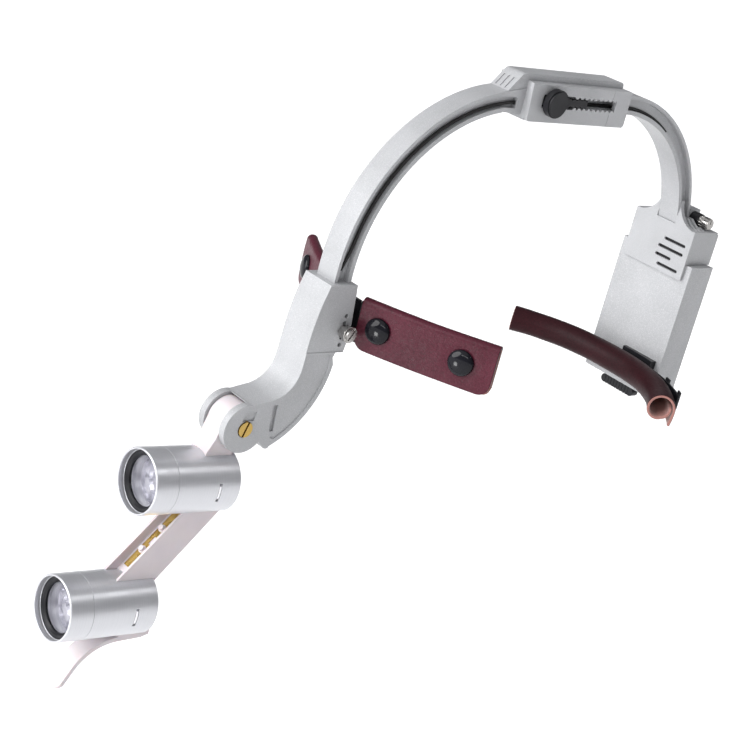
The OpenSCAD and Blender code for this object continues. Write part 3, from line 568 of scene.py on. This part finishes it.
# ---------- scene ----------


# The camera's place, and its right, up and back, recovered from the photo's straight and square parts
CAMERA_PLACE = (0.5045, -0.5732, 0.2280)
CAMERA_AXES = ((0.6235, 0.7438, 0.2408), (-0.4135, 0.0523, 0.9090), (0.6636, -0.6663, 0.3402))
CAMERA_LENS = 81.2

FLOOR_DEPTH = 0.12
FLOOR_REACH = 12
FLOOR_GLOW = 0.3
# How bright the surroundings are as a light, and as the camera sees them
WORLD_LIGHT = 0.19
WORLD_SEEN = 1.1


def camera():
    """The photo's camera."""
    data = bpy.data.cameras.new("camera")
    data.lens = CAMERA_LENS
    data.sensor_width = 36.0
    data.clip_start = 0.01
    made = bpy.data.objects.new("camera", data)
    bpy.context.scene.collection.objects.link(made)
    turn = Matrix(CAMERA_AXES).transposed().to_4x4()
    made.matrix_world = Matrix.Translation(CAMERA_PLACE) @ turn
    bpy.context.scene.camera = made


def softbox(name, place, target, size, power):
    """A rectangular light that faces its target and that the camera doesn't see."""
    data = bpy.data.lights.new(name, "AREA")
    data.shape = "RECTANGLE"
    data.size, data.size_y = size
    data.energy = power
    made = bpy.data.objects.new(name, data)
    made.location = place
    made.visible_camera = False
    made.rotation_mode = "QUATERNION"
    made.rotation_quaternion = (Vector(place) - Vector(target)).to_track_quat("Z", "Y")
    bpy.context.scene.collection.objects.link(made)


def sun(name, tilt, turn, breadth, strength):
    """A broad distant light: tilted from overhead to the front, then turned, to -X where negative."""
    data = bpy.data.lights.new(name, "SUN")
    data.angle = math.radians(breadth)
    data.energy = strength
    made = bpy.data.objects.new(name, data)
    made.rotation_euler = (math.radians(tilt), 0, math.radians(turn))
    bpy.context.scene.collection.objects.link(made)


def pale_floor():
    """A wide floor under the object, which glows a little so that it stays pale."""
    floor_z = CAD_BOX[0].z - FLOOR_DEPTH
    signs = ((-1, -1), (1, -1), (1, 1), (-1, 1))
    corners = [(x * FLOOR_REACH, y * FLOOR_REACH, floor_z) for x, y in signs]
    floor = new_object("floor", corners, [(0, 1, 2, 3)])
    look, tree, shader, place = start_material(
        "pale_floor", Roughness=0.95, Specular_IOR_Level=0.05, Emission_Strength=FLOOR_GLOW
    )
    shader.inputs["Emission Color"].default_value = (1, 1, 1, 1)
    tone = mix_colours(tree, noise_value(tree, place, 3), (0.96, 0.96, 0.965), (0.975, 0.975, 0.975))
    tree.links.new(tone, shader.inputs["Base Color"])
    dress(floor, look)


def pale_surroundings():
    """Even light from all round. The camera sees it paler than it lights."""
    world = bpy.data.worlds.new("studio")
    bpy.context.scene.world = world
    world.use_nodes = True
    background = world.node_tree.nodes["Background"]
    background.inputs["Color"].default_value = (0.95, 0.96, 1.0, 1)
    seen = world.node_tree.nodes.new("ShaderNodeLightPath").outputs["Is Camera Ray"]
    strength = spread(world.node_tree, seen, WORLD_LIGHT, WORLD_SEEN)
    world.node_tree.links.new(strength, background.inputs["Strength"])


def lights():
    """Two broad suns, a strip in front, one for the sheen along the barrels, and a low box for the lenses."""
    centre = (CAD_BOX[0] + CAD_BOX[1]) / 2
    sun("front", tilt=66, turn=-18, breadth=50, strength=3.35)
    sun("sky", tilt=24, turn=-10, breadth=80, strength=0.9)
    softbox(
        "strip", centre + Vector((0.60, -0.80, 0.50)), centre + Vector((0, -0.1, -0.05)),
        size=(0.7, 0.10), power=1.5,
    )
    softbox("barrels", (0.42, 0.30, 0.49), (0.0, -0.17, -0.1), size=(0.24, 0.07), power=0.45)
    softbox(
        "low", centre + Vector((0.10, -0.62, -0.2)), centre + Vector((0.03, 0, 0.03)),
        size=(0.13, 0.13), power=0.8,
    )


camera()
pale_floor()
pale_surroundings()
lights()
bpy.context.scene.view_settings.view_transform = "Standard"

# Roundings of the CAD pieces' hard edges, in millimetres
SOFT_EDGES = {
    "front_band": 0.35, "rear_band": 0.35, "adjuster_housing": 0.3, "toothed_plate": 0.18,
    "slot_end_cap": 0.18, "left_cover_plate": 0.3, "lower_bracket": 0.35, "band_foot": 0.25,
    "upper_case": 0.5, "battery_box": 0.5, "battery_cartridge": 0.3, "cartridge_grip": 0.3,
    "knuckle_arm": 0.4, "channel_bar": 0.3, "finger_lever": 0.5, "size_latch": 0.3,
    "pad_bracket": 0.2, "pad_carrier": 0.2, "pad_screw": 0.15, "pivot_screw": 0.12,
    "pivot_nut": 0.12, "dimmer_knob": 0.12, "dimmer_collar": 0.15, "brass_strip": 0.08,
    "upper_barrel": 0.12, "lower_barrel": 0.12, "upper_front_ring": 0.12, "lower_front_ring": 0.12,
    "upper_rear_cap": 0.15, "lower_rear_cap": 0.15, "case_floor": 0.15, "rear_pad_spine": 0.15,
}
for node, width in SOFT_EDGES.items():
    soften(node, width * MM)
for node, obj in frame["nodes"].items():
    dress(obj, LOOKS[SLOT_OF[node]])
sleeve("sleeve_leather_left", "sleeve_left", 1)
sleeve("sleeve_leather_right", "sleeve_right", -1)
snaps()
rear_roll()
